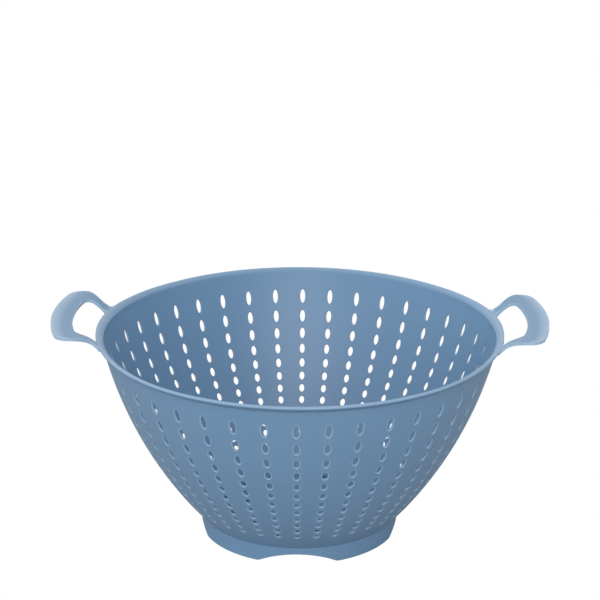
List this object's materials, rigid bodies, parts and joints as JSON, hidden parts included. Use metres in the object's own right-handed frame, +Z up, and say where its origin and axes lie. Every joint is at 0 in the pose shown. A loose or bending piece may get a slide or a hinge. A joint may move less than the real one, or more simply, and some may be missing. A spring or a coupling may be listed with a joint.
{
  "type": "colander",
  "caption": "Round plastic colander with a slotted bowl wall, drained floor, sloping rim, loop handles and an arched foot ring",
  "frame": {"origin": "On the ground at the bowl's own axis, at the bottom centre of the bounding box", "axes": "+X across the handles, the longest way; +Y across the bowl; +Z up, the shortest way"},
  "size_m": [0.3162, 0.26, 0.1435],
  "materials": {
    "moulded_plastic": "satin blue-grey polypropylene, self-coloured"
  },
  "bodies": {
    "root": {"rim": "moulded_plastic", "handle_left": "moulded_plastic", "handle_right": "moulded_plastic", "strainer_wall": "moulded_plastic", "drain_floor": "moulded_plastic", "foot_ring": "moulded_plastic"}
  },
  "joints": []
}
